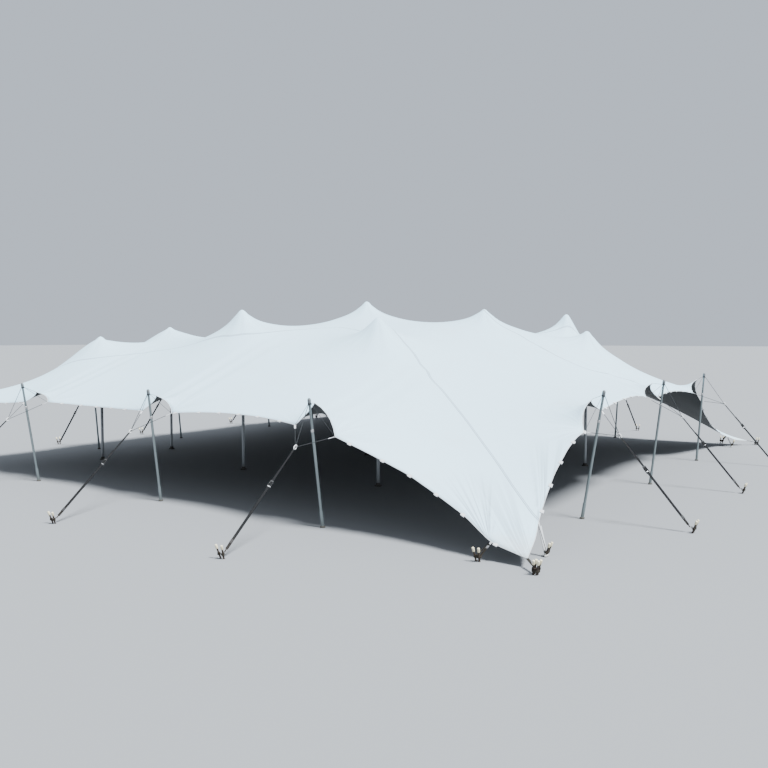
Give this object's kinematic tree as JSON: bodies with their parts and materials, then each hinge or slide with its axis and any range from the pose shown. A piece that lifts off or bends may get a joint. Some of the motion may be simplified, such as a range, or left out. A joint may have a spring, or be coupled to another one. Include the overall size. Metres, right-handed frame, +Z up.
{
  "type": "stretch tent",
  "caption": "White stretch tent: one tensioned fabric canopy over inner king poles, with leaning side poles and guyed hem notches, one raised and three pegged corners, strap and ratchet guys and ground stakes",
  "frame": {"origin": "Ground level at the middle of the tent's plan, centre of the overall box's bottom", "axes": "+Z up, +Y from the front side (with the tall front row of king poles) to the back, +X to the right side; ground is z = 0"},
  "size_m": [23.5212, 25.0614, 5.243],
  "materials": {
    "canopy": "matte white stretch fabric",
    "king_pole": "plain aluminium tube with dark rubber foot",
    "side_pole": "plain aluminium tube with dark cap and foot",
    "guy_set": "black webbing strap with grey rope bridle, steel ratchet and steel stakes",
    "corner_anchor": "dull steel stakes with pale plastic heads",
    "corner_peg": "dull steel stake with white webbing"
  },
  "bodies": {
    "root": {"canopy_strip_1": "canopy", "canopy_strip_2": "canopy", "canopy_strip_3": "canopy", "canopy_strip_4": "canopy", "king_pole_1": "king_pole", "king_pole_2": "king_pole", "king_pole_3": "king_pole", "king_pole_4": "king_pole", "king_pole_5": "king_pole", "king_pole_6": "king_pole", "king_pole_7": "king_pole", "king_pole_8": "king_pole", "king_pole_9": "king_pole", "king_pole_10": "king_pole", "side_pole_1": "side_pole", "side_pole_2": "side_pole", "side_pole_3": "side_pole", "side_pole_4": "side_pole", "side_pole_5": "side_pole", "side_pole_6": "side_pole", "side_pole_7": "side_pole", "side_pole_8": "side_pole", "side_pole_9": "side_pole", "side_pole_10": "side_pole", "side_pole_11": "side_pole", "side_pole_12": "side_pole", "guy_set_1": "guy_set", "guy_set_2": "guy_set", "guy_set_3": "guy_set", "guy_set_4": "guy_set", "guy_set_5": "guy_set", "guy_set_6": "guy_set", "guy_set_7": "guy_set", "guy_set_8": "guy_set", "guy_set_9": "guy_set", "guy_set_10": "guy_set", "guy_set_11": "guy_set", "guy_set_12": "guy_set", "corner_pole": "side_pole", "corner_guy": "guy_set", "corner_anchor_1": "corner_anchor", "corner_anchor_2": "corner_anchor", "corner_anchor_3": "corner_anchor", "corner_peg_1": "corner_peg", "corner_peg_2": "corner_peg", "corner_peg_3": "corner_peg", "corner_peg_4": "corner_peg", "corner_peg_5": "corner_peg", "corner_peg_6": "corner_peg"}
  },
  "joints": []
}
